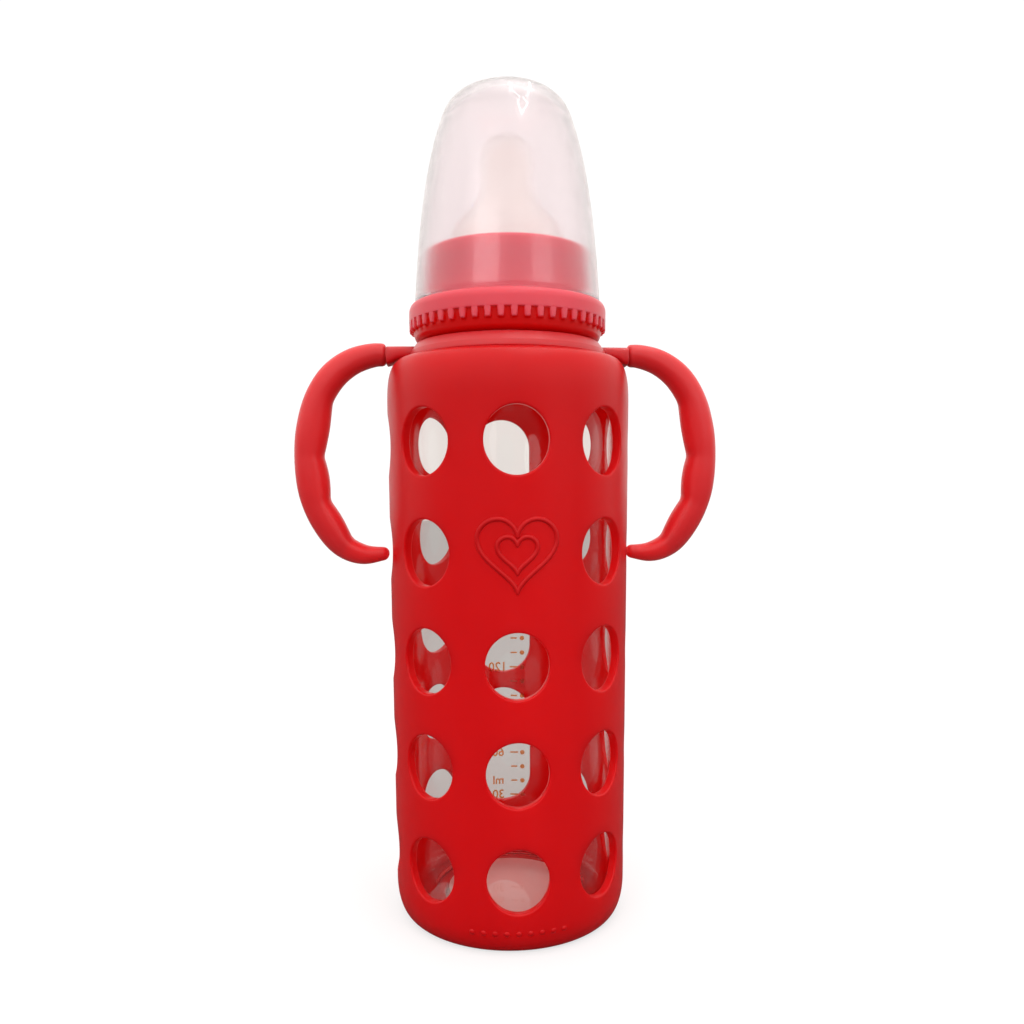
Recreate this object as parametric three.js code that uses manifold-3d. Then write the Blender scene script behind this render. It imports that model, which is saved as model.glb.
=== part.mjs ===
// A two-handled baby bottle: a glass bottle in a holed silicone sleeve, a free-turning handle ring
// with a soft grip on each side, a screw collar, a silicone nipple and a tall dust cap.
// Millimetres, +Z up. The origin is on the resting plane, on the bottle's axis.
// The sleeve's front column of holes faces -Y, and the handles lie along +X and -X.

import * as THREE from 'three';
import { mergeVertices } from 'three/addons/utils/BufferGeometryUtils.js';
import Module from 'manifold-3d';

const wasm = await Module();
wasm.setup();

// ---- Driving dimensions ----

const GAP = 0.35; // between neighbouring pieces
const SLEEVE_STEPS = 40; // facets round the sleeve
const ROUND_STEPS = 36; // facets round the other large turned pieces
const SMALL_STEPS = 24; // facets round the nipple

const SLEEVE_HEIGHT = 145.8;
const SLEEVE_BASE_RADIUS = 30.85;
const SLEEVE_TOP_RADIUS = 31.25; // just under the shoulder
const SLEEVE_BORE = 28.65;
const SLEEVE_FLOOR = 2.5;
const SLEEVE_LIP_RADIUS = 21.2; // opening round the neck
const BASE_OPENING = 18; // opening under the bottle
const SHOULDER_START = 135; // where the straight wall ends
const FOOT_WIDTH = 3.2; // of the rounded lower edge
const FOOT_HEIGHT = 8.6;

const HOLE_COLUMNS = 8;
const HOLE_ROWS = 5;
const LOWEST_HOLE = 18.6;
const HOLE_PITCH = 26.4;
const HOLE_HALF_WIDTH = 7.65;
const HOLE_HALF_HEIGHT = 8.05;
const BACK_LOWEST_HOLE = 22.7; // beside the slots, the holes sit higher and closer together
const BACK_HOLE_PITCH = 25.6;
const BADGE_ROW = 3; // the front column has a raised badge here instead of a hole
const SLOT_COLUMN = 4; // the back column has tall slots instead of holes, to read the scale through
const SLOT_COUNT = 3;
const LOWEST_SLOT = 35.6; // height of its middle
const SLOT_PITCH = 40;
const SLOT_LENGTH = 35.1;
const SLOT_HALF_WIDTH = 8.3;

const GLASS_RADIUS = 28.3;
const GLASS_BORE = 26.9; // 30 ml stand 13.2 mm high
const GLASS_FLOOR = 5.2;
const NECK_RADIUS = 17.4;
const NECK_BORE = 14.5;
const RIM_HEIGHT = 167.8;

const THREAD_PITCH = 4;
const THREAD_TURNS = 1.5;
const THREAD_START = 155.2; // height of the glass thread's first point
const THREAD_DEPTH = 1.3;
const THREAD_BASE = 2.2;
const THREAD_CREST = 1.0;

const RING_BOTTOM = SLEEVE_HEIGHT + GAP;
const RING_TOP = 149.8;
const RING_BORE = 19.3;
const RING_OUTER = 25.4;
const ARM_TOP = 149.3;
const ARM_MIDDLE = 147.35;
const ARM_END = 30.9;
const ARM_WIDTH = 8;

const GRIP_START = ARM_END + GAP;
const CORE_HALF_WIDTH = 1.5;
const CORE_HALF_DEPTH = 2.0;
const CORE_STEP = 0.05; // as a fraction of the loop, like CORE_END
const CORE_END = 0.84;
const GRIP_DEPTH_RATIO = 0.5; // half depth over whole width
const LOBE_HEIGHT = 1.1;

const COLLAR_BOTTOM = RING_TOP + GAP;
const COLLAR_RADIUS = 25.25;
const COLLAR_LEDGE = 159.6; // the dust cap stands on this step
const COLLAR_TOP = 172.8;
const COLLAR_BORE = 19.15;
const PLINTH_RADIUS = 21.4;
const PLINTH_TOP_RADIUS = 20.6;
const PLATE_BOTTOM = COLLAR_TOP - 2.4; // underside of the plate that presses on the nipple
const NIPPLE_OPENING = 12.2;
const RIB_COUNT = 50;
const RIB_DEPTH = 1.1;
const RIB_WIDTH = 1.6;
const RIB_BOTTOM = 152.5;
const RIB_TOP = 155.1;

const NIPPLE_TOP = 201.2;

const CAP_BOTTOM = COLLAR_LEDGE + GAP;
const CAP_TOP = 213.2;
const CAP_WALL = 1.4;
const CAP_RADIUS = 23.7;

// ---- Colours and finishes ----

const glassMaterial = new THREE.MeshStandardMaterial({ color: 0xe6efec, roughness: 0.05, metalness: 0 });
const sleeveMaterial = new THREE.MeshStandardMaterial({ color: 0xcc1219, roughness: 0.5, metalness: 0 });
const ringMaterial = new THREE.MeshStandardMaterial({ color: 0xe2404a, roughness: 0.4, metalness: 0 });
const gripMaterial = new THREE.MeshStandardMaterial({ color: 0xe0303a, roughness: 0.45, metalness: 0 });
const collarMaterial = new THREE.MeshStandardMaterial({ color: 0xe54450, roughness: 0.35, metalness: 0 });
const nippleMaterial = new THREE.MeshStandardMaterial({ color: 0xf1e9dd, roughness: 0.35, metalness: 0 });
const capMaterial = new THREE.MeshStandardMaterial({ color: 0xf3e6e6, roughness: 0.4, metalness: 0 });

// ---- Outlines, in radius and height ----

const at = (radius, height) => new THREE.Vector2(radius, height);

function bend(start, pullStart, pullEnd, end, steps) {
  return new THREE.CubicBezierCurve(start, pullStart, pullEnd, end).getPoints(steps);
}

function corner(centre, radiusAcross, radiusUp, fromDegrees, toDegrees, steps) {
  const points = [];
  for (let step = 0; step <= steps; step += 1) {
    const angle = THREE.MathUtils.degToRad(fromDegrees + ((toDegrees - fromDegrees) * step) / steps);
    points.push(at(centre.x + radiusAcross * Math.cos(angle), centre.y + radiusUp * Math.sin(angle)));
  }
  return points;
}

// ---- Solids ----

// Turns an outline about the Z axis. A ring's outline is closed by its first point.
function turned(outline, steps) {
  const isRing = Math.min(...outline.map((point) => point.x)) > 0;
  const points = isRing ? [...outline, outline[0].clone()] : [...outline];
  if (THREE.ShapeUtils.area(outline) < 0) {
    points.reverse();
  }
  const geometry = new THREE.LatheGeometry(points, steps);
  geometry.rotateX(Math.PI / 2);
  return geometry;
}

// Six times the volume that a triangle closes off with the origin
function wedge(a, b, c) {
  return a.dot(b.clone().cross(c));
}

// Joins rings of points, each with the same number, and caps the first and the last.
function lofted(rings) {
  const count = rings[0].length;
  const points = rings.flat();
  const last = points.length - count;
  const faces = [];
  for (let start = 0; start < last; start += count) {
    for (let column = 0; column < count; column += 1) {
      const a = start + column;
      const b = start + ((column + 1) % count);
      faces.push([a, b, b + count], [a, b + count, a + count]);
    }
  }
  for (let column = 1; column + 1 < count; column += 1) {
    faces.push([0, column + 1, column], [last, last + column, last + column + 1]);
  }
  const volume = faces.reduce((sum, [a, b, c]) => sum + wedge(points[a], points[b], points[c]), 0);
  const outward = volume < 0 ? faces.map(([a, b, c]) => [a, c, b]) : faces;
  const geometry = new THREE.BufferGeometry();
  geometry.setFromPoints(points);
  geometry.setIndex(outward.flat());
  return geometry;
}

function solidOf(geometry) {
  const bare = geometry.clone();
  bare.deleteAttribute('normal');
  bare.deleteAttribute('uv');
  const merged = mergeVertices(bare, 1e-4);
  const mesh = new wasm.Mesh({
    numProp: 3,
    vertProperties: new Float32Array(merged.attributes.position.array),
    triVerts: new Uint32Array(merged.index.array),
  });
  return new wasm.Manifold(mesh);
}

function geometryOf(solid) {
  const mesh = solid.getMesh();
  const geometry = new THREE.BufferGeometry();
  geometry.setAttribute('position', new THREE.BufferAttribute(mesh.vertProperties, 3));
  geometry.setIndex(new THREE.BufferAttribute(mesh.triVerts, 1));
  geometry.computeVertexNormals();
  return geometry;
}

// A thread ridge: a trapezium that climbs a right-hand helix and fades out at both ends.
// A positive depth stands outwards from the root radius, and a negative one inwards.
function threadRidge(rootRadius, depth, startHeight) {
  const stepsPerTurn = 16;
  const steps = Math.round(THREAD_TURNS * stepsPerTurn);
  const buried = -0.4 * Math.sign(depth);
  const rings = [];
  for (let step = 0; step <= steps; step += 1) {
    const turn = step / stepsPerTurn;
    const angle = turn * 2 * Math.PI;
    const fade = Math.min(1, 0.15 + Math.min(step, steps - step) / 3);
    const height = startHeight + turn * THREAD_PITCH;
    const corners = [
      at(rootRadius + buried, height - THREAD_BASE / 2),
      at(rootRadius + depth * fade, height - THREAD_CREST / 2),
      at(rootRadius + depth * fade, height + THREAD_CREST / 2),
      at(rootRadius + buried, height + THREAD_BASE / 2),
    ];
    const [across, along] = [Math.cos(angle), Math.sin(angle)];
    rings.push(corners.map(({ x, y }) => new THREE.Vector3(x * across, x * along, y)));
  }
  return lofted(rings);
}

// ---- Glass bottle ----

function glassBottle() {
  const bottom = SLEEVE_FLOOR + GAP;
  const shoulder = SLEEVE_HEIGHT - 2.8; // height of the flat part of the shoulder
  const inside = shoulder - 1.7;
  const outline = [
    at(0, GLASS_FLOOR - 1.6),
    at(19.5, GLASS_FLOOR - 1.6),
    at(21.5, bottom),
    at(24, bottom),
    ...corner(at(24, bottom + 5.2), GLASS_RADIUS - 24, 5.2, -60, 0, 3),
    ...bend(
      at(GLASS_RADIUS, SHOULDER_START),
      at(GLASS_RADIUS, shoulder - 4.2),
      at(GLASS_RADIUS - 1.2, shoulder),
      at(24, shoulder),
      4,
    ),
    ...corner(at(21, shoulder + 3.4), 21 - NECK_RADIUS, 3.4, 270, 180, 3),
    at(NECK_RADIUS, RING_TOP - 2),
    at(NECK_RADIUS + 1.1, RING_TOP - 1.4),
    at(NECK_RADIUS + 1.1, RING_TOP - 0.2),
    at(NECK_RADIUS, RING_TOP + 0.4),
    ...corner(at(NECK_RADIUS - 0.8, RIM_HEIGHT - 0.8), 0.8, 0.8, 0, 90, 2),
    ...corner(at(NECK_BORE + 0.8, RIM_HEIGHT - 0.8), 0.8, 0.8, 90, 180, 2),
    ...bend(at(NECK_BORE, inside + 6.6), at(NECK_BORE, inside + 2.5), at(18.4, inside), at(22.6, inside), 3),
    ...bend(at(23.4, inside), at(25.9, inside - 0.3), at(GLASS_BORE, inside - 3.6), at(GLASS_BORE, 134), 3),
    ...corner(at(GLASS_BORE - 4, GLASS_FLOOR + 4), 4, 4, 0, -90, 3),
    at(0, GLASS_FLOOR),
  ];
  const body = solidOf(turned(outline, ROUND_STEPS));
  const thread = solidOf(threadRidge(NECK_RADIUS, THREAD_DEPTH, THREAD_START));
  return geometryOf(body.add(thread));
}

// ---- Silicone sleeve ----

// Runs through the wall at a column's middle line, with the outline upright.
function wallCutter(outline, column, height) {
  const geometry = new THREE.ExtrudeGeometry(outline, { depth: 12, curveSegments: 6, bevelEnabled: false });
  geometry.rotateX(Math.PI / 2);
  geometry.translate(0, 12 - SLEEVE_TOP_RADIUS - 4, height);
  geometry.rotateZ((column * 2 * Math.PI) / HOLE_COLUMNS);
  return solidOf(geometry);
}

function holeOutline() {
  const outline = new THREE.Shape();
  outline.absellipse(0, 0, HOLE_HALF_WIDTH, HOLE_HALF_HEIGHT, 0, 2 * Math.PI);
  return outline;
}

function slotOutline() {
  const straight = SLOT_LENGTH / 2 - SLOT_HALF_WIDTH;
  const outline = new THREE.Shape();
  outline.absarc(0, straight, SLOT_HALF_WIDTH, 0, Math.PI);
  outline.absarc(0, -straight, SLOT_HALF_WIDTH, Math.PI, 2 * Math.PI);
  return outline;
}

function siliconeSleeve() {
  const underside = SLEEVE_HEIGHT - 2.4; // of the inward lip at the top
  const outline = [
    at(BASE_OPENING, 0),
    ...corner(at(SLEEVE_BASE_RADIUS - FOOT_WIDTH, FOOT_HEIGHT), FOOT_WIDTH, FOOT_HEIGHT, -90, 0, 4),
    ...bend(
      at(SLEEVE_TOP_RADIUS, SHOULDER_START),
      at(SLEEVE_TOP_RADIUS, SHOULDER_START + 6),
      at(30.4, SLEEVE_HEIGHT + 0.1),
      at(26.8, SLEEVE_HEIGHT),
      5,
    ),
    at(SLEEVE_LIP_RADIUS, SLEEVE_HEIGHT),
    at(SLEEVE_LIP_RADIUS, underside),
    ...bend(
      at(24.2, underside),
      at(27.4, underside),
      at(SLEEVE_BORE, underside - 4.3),
      at(SLEEVE_BORE, SHOULDER_START),
      4,
    ),
    ...corner(at(24, SLEEVE_FLOOR + 5.2), SLEEVE_BORE - 24, 5.2, 0, -90, 4),
    at(BASE_OPENING, SLEEVE_FLOOR),
  ];
  let sleeve = solidOf(turned(outline, SLEEVE_STEPS));
  for (let column = 0; column < HOLE_COLUMNS; column += 1) {
    for (let row = 0; row < HOLE_ROWS; row += 1) {
      const isBadge = column === 0 && row === BADGE_ROW;
      const besideSlots = Math.abs(column - SLOT_COLUMN) === 1;
      const height = besideSlots ? BACK_LOWEST_HOLE + row * BACK_HOLE_PITCH : LOWEST_HOLE + row * HOLE_PITCH;
      if (column !== SLOT_COLUMN && !isBadge) {
        sleeve = sleeve.subtract(wallCutter(holeOutline(), column, height));
      }
    }
  }
  for (let slot = 0; slot < SLOT_COUNT; slot += 1) {
    sleeve = sleeve.subtract(wallCutter(slotOutline(), SLOT_COLUMN, LOWEST_SLOT + slot * SLOT_PITCH));
  }
  return geometryOf(sleeve);
}

// ---- Handles ----

// The middle line of the right-hand loop, from the arm's end round to the lower tip
const loopLine = new THREE.CatmullRomCurve3(
  [
    [GRIP_START, ARM_MIDDLE],
    [34.5, 147.3],
    [40, 145.7],
    [45, 142],
    [49, 135.8],
    [51, 128.3],
    [51.4, 119.8],
    [50.4, 111.8],
    [47.6, 104.6],
    [43.4, 98.8],
    [38.2, 96.2],
    [31.45, 96.1],
  ].map(([x, z]) => new THREE.Vector3(x, 0, z)),
);
loopLine.arcLengthDivisions = 400;

// Half widths of the grip at even steps along the loop, on its outer and on its inner side
const evenSpline = (widths) => new THREE.SplineCurve(widths.map((width, index) => at(index, width)));
const outerWidths = evenSpline([2.9, 3.25, 3.6, 3.65, 3.9, 4.05, 4.05, 3.75, 3.05, 1.5]);
const innerWidths = evenSpline([2.8, 3.3, 3.6, 3.65, 3.6, 3.5, 3.3, 2.95, 2.6, 1.8]);

// Where the finger lobes on the inner side start and end, as fractions of the loop
const LOBE_EDGES = [0.29, 0.5, 0.668, 0.845];

function lobe(along) {
  for (let index = 0; index + 1 < LOBE_EDGES.length; index += 1) {
    const place = (along - LOBE_EDGES[index]) / (LOBE_EDGES[index + 1] - LOBE_EDGES[index]);
    if (place >= 0 && place <= 1) {
      return LOBE_HEIGHT * Math.sin(Math.PI * place) ** 0.8;
    }
  }
  return 0;
}

// An oval ring across the loop, with its own half width on the outer and on the inner side
function loopRing(along, outer, inner, halfDepth, sides) {
  const centre = loopLine.getPointAt(along);
  const tangent = loopLine.getTangentAt(along);
  const outward = new THREE.Vector3(-tangent.z, 0, tangent.x);
  const ring = [];
  for (let side = 0; side < sides; side += 1) {
    const angle = (side * 2 * Math.PI) / sides;
    const reach = Math.cos(angle) > 0 ? outer : inner;
    const point = centre.clone().addScaledVector(outward, reach * Math.cos(angle));
    point.y += halfDepth * Math.sin(angle);
    ring.push(point);
  }
  return ring;
}

function gripShell() {
  const steps = 30;
  const rings = [];
  for (let step = 0; step <= steps; step += 1) {
    const along = step / steps;
    const startRound = 0.82 + 0.18 * Math.min(1, step);
    const outer = outerWidths.getPoint(along).y * startRound;
    const inner = innerWidths.getPoint(along).y * startRound;
    rings.push(loopRing(along, outer, inner + lobe(along), (outer + inner) * GRIP_DEPTH_RATIO, 10));
  }
  return lofted(rings);
}

// An oval tube that leads in straight, and then follows the loop to a little past the core's end
function loopTube(halfWidth, halfDepth, extra) {
  const first = loopRing(0, halfWidth, halfWidth, halfDepth, 8);
  const rings = [first.map((point) => point.clone().setX(ARM_END - 1))];
  for (let along = 0; along < CORE_END; along += CORE_STEP) {
    rings.push(loopRing(along, halfWidth, halfWidth, halfDepth, 8));
  }
  rings.push(loopRing(CORE_END + extra, halfWidth, halfWidth, halfDepth, 8));
  return lofted(rings);
}

function grip() {
  const channel = solidOf(loopTube(CORE_HALF_WIDTH + GAP, CORE_HALF_DEPTH + GAP, 0.006));
  return geometryOf(solidOf(gripShell()).subtract(channel));
}

// A section across the arm, with its corners taken off
function armRing(x, bottom, top) {
  const half = ARM_WIDTH / 2;
  const cut = 0.8;
  return [
    [-half, bottom + cut],
    [-half + cut, bottom],
    [half - cut, bottom],
    [half, bottom + cut],
    [half, top - cut],
    [half - cut, top],
    [-half + cut, top],
    [-half, top - cut],
  ].map(([y, z]) => new THREE.Vector3(x, y, z));
}

// The arm from the ring to the grip, with the core that the grip is moulded over.
// Its underside follows the sleeve's shoulder.
function handleArm() {
  const bar = lofted([
    armRing(22, RING_BOTTOM, ARM_TOP),
    armRing(27, RING_BOTTOM, ARM_TOP),
    armRing(28.6, RING_BOTTOM - 0.35, ARM_TOP),
    armRing(29.7, RING_BOTTOM - 1.15, ARM_TOP),
    armRing(ARM_END, RING_BOTTOM - 1.5, ARM_TOP),
  ]);
  const core = solidOf(loopTube(CORE_HALF_WIDTH, CORE_HALF_DEPTH, 0));
  return solidOf(bar).add(core);
}

function handleRing() {
  const outline = [
    at(RING_BORE, RING_BOTTOM),
    at(RING_OUTER, RING_BOTTOM),
    at(RING_OUTER, RING_BOTTOM + 0.4),
    at(25.1, RING_TOP - 2.1),
    at(24.4, RING_TOP - 1.1),
    at(23.9, RING_TOP - 0.3),
    at(23.5, RING_TOP),
    at(RING_BORE, RING_TOP),
  ];
  const right = handleArm();
  const left = right.rotate([0, 0, 180]);
  return geometryOf(solidOf(turned(outline, ROUND_STEPS)).add(right).add(left));
}

// ---- Screw collar ----

function ribGeometry(index) {
  const root = COLLAR_RADIUS - RIB_DEPTH - 0.5;
  const side = new THREE.Shape([
    at(root, RIB_BOTTOM),
    at(COLLAR_RADIUS - 0.6, RIB_BOTTOM),
    at(COLLAR_RADIUS - 0.1, RIB_BOTTOM + 0.5),
    at(COLLAR_RADIUS - 0.02, RIB_TOP + 0.3),
    at(root, RIB_TOP + 0.3),
  ]);
  const geometry = new THREE.ExtrudeGeometry(side, { depth: RIB_WIDTH, bevelEnabled: false });
  geometry.translate(0, 0, -RIB_WIDTH / 2);
  geometry.rotateX(Math.PI / 2);
  geometry.rotateZ(((index + 0.5) * 2 * Math.PI) / RIB_COUNT);
  return geometry;
}

// Below its band the collar leans in towards the ring, and the ribs hang over that slope.
function screwCollar() {
  const slopeRadius = COLLAR_RADIUS - RIB_DEPTH;
  const outline = [
    at(COLLAR_BORE, COLLAR_BOTTOM),
    ...corner(at(slopeRadius - 2.1, COLLAR_BOTTOM + 1.9), 1.9, 1.9, -90, 0, 4),
    at(slopeRadius, RIB_BOTTOM),
    at(slopeRadius + 0.4, RIB_TOP),
    at(COLLAR_RADIUS, RIB_TOP),
    ...corner(at(COLLAR_RADIUS - 1.3, COLLAR_LEDGE - 2.1), 1.3, 2.1, 0, 90, 3),
    at(PLINTH_RADIUS + 0.2, COLLAR_LEDGE),
    at(PLINTH_RADIUS, COLLAR_LEDGE + 0.3),
    ...corner(at(PLINTH_TOP_RADIUS - 1.2, COLLAR_TOP - 1.2), 1.2, 1.2, 0, 90, 3),
    at(NIPPLE_OPENING + 0.4, COLLAR_TOP),
    at(NIPPLE_OPENING, COLLAR_TOP - 0.4),
    at(NIPPLE_OPENING, PLATE_BOTTOM),
    at(COLLAR_BORE - 0.8, PLATE_BOTTOM),
    at(COLLAR_BORE, PLATE_BOTTOM - 0.8),
  ];
  let collar = solidOf(turned(outline, ROUND_STEPS));
  for (let index = 0; index < RIB_COUNT; index += 1) {
    collar = collar.add(solidOf(ribGeometry(index)));
  }
  const innerThread = threadRidge(COLLAR_BORE, -THREAD_DEPTH, THREAD_START - THREAD_PITCH / 2);
  return geometryOf(collar.add(solidOf(innerThread)));
}

// ---- Nipple ----

function nipple() {
  const flangeBottom = RIM_HEIGHT + GAP;
  const flangeTop = PLATE_BOTTOM - GAP;
  const outline = [
    at(10.2, flangeBottom),
    at(17.4, flangeBottom),
    at(17.4, flangeTop),
    at(11.8, flangeTop),
    at(11.8, COLLAR_TOP + GAP),
    at(13.8, COLLAR_TOP + GAP),
    at(14.6, 174.2),
    ...bend(at(14.3, 176.2), at(13.2, 181.2), at(7.6, 182.8), at(6.7, 189.2), 5),
    ...bend(at(6.5, 191.2), at(7.4, 197.8), at(5.6, NIPPLE_TOP), at(1.2, NIPPLE_TOP), 5),
    at(0.6, NIPPLE_TOP - 0.4),
    at(0.6, NIPPLE_TOP - 2.2),
    ...bend(at(1.4, NIPPLE_TOP - 2.2), at(4.6, 198.8), at(5.2, 195.2), at(4.6, 191.2), 3),
    ...bend(at(4.9, 188.2), at(5.8, 181.6), at(12, 179.8), at(12.3, 175.8), 4),
    at(12.2, 174.4),
    at(10.2, COLLAR_TOP + 0.2),
  ];
  return turned(outline, SMALL_STEPS);
}

// ---- Dust cap ----

function dustCap() {
  const shoulder = at(17.0, 203.8);
  const outer = [
    ...bend(at(CAP_RADIUS, CAP_BOTTOM), at(22.9, 176), at(20.8, 193.6), shoulder, 4),
    ...bend(shoulder, at(15.4, 209.9), at(11.3, CAP_TOP), at(0, CAP_TOP), 5).slice(1),
  ];
  const innerShoulder = at(shoulder.x - CAP_WALL, shoulder.y - 0.7);
  const innerTop = CAP_TOP - CAP_WALL;
  const inner = [
    ...bend(at(CAP_RADIUS - CAP_WALL, CAP_BOTTOM), at(21.5, 176), at(19.4, 193), innerShoulder, 4),
    ...bend(innerShoulder, at(14.2, 208.5), at(10.2, innerTop), at(0, innerTop), 5).slice(1),
  ];
  return turned([...inner.reverse(), ...outer], ROUND_STEPS);
}

// ---- The assembly ----

const bottle = new THREE.Group();

function place(name, geometry, material) {
  const mesh = new THREE.Mesh(geometry, material);
  mesh.name = name;
  bottle.add(mesh);
  return mesh;
}

place('glass_bottle', glassBottle(), glassMaterial);
place('silicone_sleeve', siliconeSleeve(), sleeveMaterial);
place('handle_ring', handleRing(), ringMaterial);
place('right_grip', grip(), gripMaterial);
place('left_grip', grip(), gripMaterial).rotation.z = Math.PI;
place('screw_collar', screwCollar(), collarMaterial);
place('nipple', nipple(), nippleMaterial);
place('dust_cap', dustCap(), capMaterial);

export default bottle;
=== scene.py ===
"""A two-handled baby bottle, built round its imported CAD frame: a glass bottle with printed
graduations in a holed silicone sleeve, a handle ring with two soft grips, a ribbed screw collar,
a nipple and a frosted dust cap. Outlines are in millimetres and become metres in make_piece()."""

import math

import bmesh
import bpy
import numpy as np
from mathutils import Matrix, Vector


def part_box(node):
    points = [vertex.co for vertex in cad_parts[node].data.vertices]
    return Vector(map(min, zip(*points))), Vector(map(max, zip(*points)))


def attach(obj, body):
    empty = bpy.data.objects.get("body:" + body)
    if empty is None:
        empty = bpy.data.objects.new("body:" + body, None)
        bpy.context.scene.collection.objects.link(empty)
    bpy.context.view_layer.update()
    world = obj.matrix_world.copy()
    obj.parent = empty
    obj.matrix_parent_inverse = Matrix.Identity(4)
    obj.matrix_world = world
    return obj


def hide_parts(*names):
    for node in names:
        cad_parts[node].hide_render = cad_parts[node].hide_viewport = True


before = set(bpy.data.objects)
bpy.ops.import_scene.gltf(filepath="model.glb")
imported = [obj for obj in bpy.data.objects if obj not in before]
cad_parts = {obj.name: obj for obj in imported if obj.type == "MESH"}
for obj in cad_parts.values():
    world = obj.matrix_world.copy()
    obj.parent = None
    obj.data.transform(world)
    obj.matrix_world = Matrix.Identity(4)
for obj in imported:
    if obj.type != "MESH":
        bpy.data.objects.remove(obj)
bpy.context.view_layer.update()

MM = 0.001


def low(node):
    """The lowest corner of a CAD node, in millimetres."""
    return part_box(node)[0] / MM


def high(node):
    """The highest corner of a CAD node, in millimetres."""
    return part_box(node)[1] / MM


# ---- Driving dimensions, in millimetres ----

GAP = 0.35  # between neighbouring pieces

SLEEVE_TOP = high("silicone_sleeve").z
SLEEVE_RADIUS = high("silicone_sleeve").x  # just under the shoulder
SLEEVE_BASE_RADIUS = SLEEVE_RADIUS - 0.4
SLEEVE_WALL = 2.6
SLEEVE_BORE = SLEEVE_RADIUS - SLEEVE_WALL
SLEEVE_FLOOR = 2.5
LIP_RADIUS = 21.2  # the sleeve's opening round the neck
LIP_WALL = 2.4
BASE_OPENING = 18
SHOULDER_START = SLEEVE_TOP - 10.8
FOOT_WIDTH = 3.2
FOOT_HEIGHT = 8.6

HOLE_COLUMNS = 8
HOLE_ROWS = 5
LOWEST_HOLE = 18.6
HOLE_PITCH = 26.4
HOLE_HALF_WIDTH = 7.65
HOLE_HALF_HEIGHT = 8.05
HOLE_EDGE = 0.5  # fillet round the outside of a hole
HOLE_INNER_EDGE = 0.4
BACK_LOWEST_HOLE = 22.7  # beside the slots, the holes sit higher and closer together
BACK_HOLE_PITCH = 25.6
BADGE_ROW = 3  # the front column has a raised motif here instead of a hole
SLOT_COLUMN = 4  # the back column has tall slots, to read the scale through
LOWEST_SLOT = 35.6  # height of its middle
SLOT_PITCH = 40
SLOT_LENGTH = 35.1
SLOT_HALF_WIDTH = 8.3

GLASS_RADIUS = high("glass_bottle").x
GLASS_BORE = GLASS_RADIUS - 1.4
GLASS_BASE = low("glass_bottle").z
GLASS_FLOOR = GLASS_BASE + 2.35
RIM_HEIGHT = high("glass_bottle").z
STIPPLED_RADIUS = 17.0  # of the frosted round under the glass
NECK_RADIUS = 17.4
NECK_BORE = 14.5

THREAD_PITCH = 4
THREAD_TURNS = 1.5
THREAD_DEPTH = 1.3
THREAD_START = RIM_HEIGHT - 12.6

RING_TOP = high("handle_ring").z
RING_BOTTOM = SLEEVE_TOP + GAP
RING_BORE = 19.3
RING_OUTER = 25.4
ARM_TOP = RING_TOP - 0.5
ARM_MIDDLE = RING_TOP - 2.45
ARM_END = low("right_grip").x - GAP
ARM_HALF_WIDTH = 4
CORE_HALF_WIDTH = 1.5
CORE_HALF_DEPTH = 2.0
CORE_END = 0.84  # as a fraction of the loop

COLLAR_BOTTOM = low("screw_collar").z
COLLAR_TOP = high("screw_collar").z
COLLAR_RADIUS = high("screw_collar").x
COLLAR_LEDGE = low("dust_cap").z - GAP
COLLAR_BORE = 19.15
PLINTH_RADIUS = 21.4
PLINTH_TOP_RADIUS = 20.6
PLATE_BOTTOM = COLLAR_TOP - 2.4
NIPPLE_OPENING = 12.2
RIB_COUNT = 50
RIB_DEPTH = 1.1
RIB_TOP = COLLAR_BOTTOM + 4.95
RIB_BOTTOM = COLLAR_BOTTOM + 2.35

NIPPLE_BASE = low("nipple").z
NIPPLE_TOP = high("nipple").z

CAP_BOTTOM = low("dust_cap").z
CAP_TOP = high("dust_cap").z
CAP_RADIUS = high("dust_cap").x
CAP_WALL = 1.4


# ---- Outlines, as points of radius and height ----


def bend(start, pull_start, pull_end, end, steps):
    """A cubic Bezier curve as points."""
    t = np.linspace(0, 1, steps + 1)[:, None]
    points = [np.array(p, float) for p in (start, pull_start, pull_end, end)]
    weights = ((1 - t) ** 3, 3 * t * (1 - t) ** 2, 3 * t**2 * (1 - t), t**3)
    return [tuple(p) for p in sum(w * p for w, p in zip(weights, points))]


def corner(centre, across, up, start, end, steps):
    """An elliptic arc about a centre, between two angles in degrees."""
    angles = np.radians(np.linspace(start, end, steps + 1))
    return [(centre[0] + across * math.cos(a), centre[1] + up * math.sin(a)) for a in angles]


def refined(outline, longest, closed):
    """The outline with its long straight stretches divided."""
    ends = outline[1:] + outline[:1] if closed else outline[1:]
    points = []
    for a, b in zip(outline, ends):
        count = max(1, math.ceil(math.dist(a, b) / longest))
        for step in range(count):
            share = step / count
            points.append((a[0] + (b[0] - a[0]) * share, a[1] + (b[1] - a[1]) * share))
    return points if closed else points + [outline[-1]]


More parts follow.
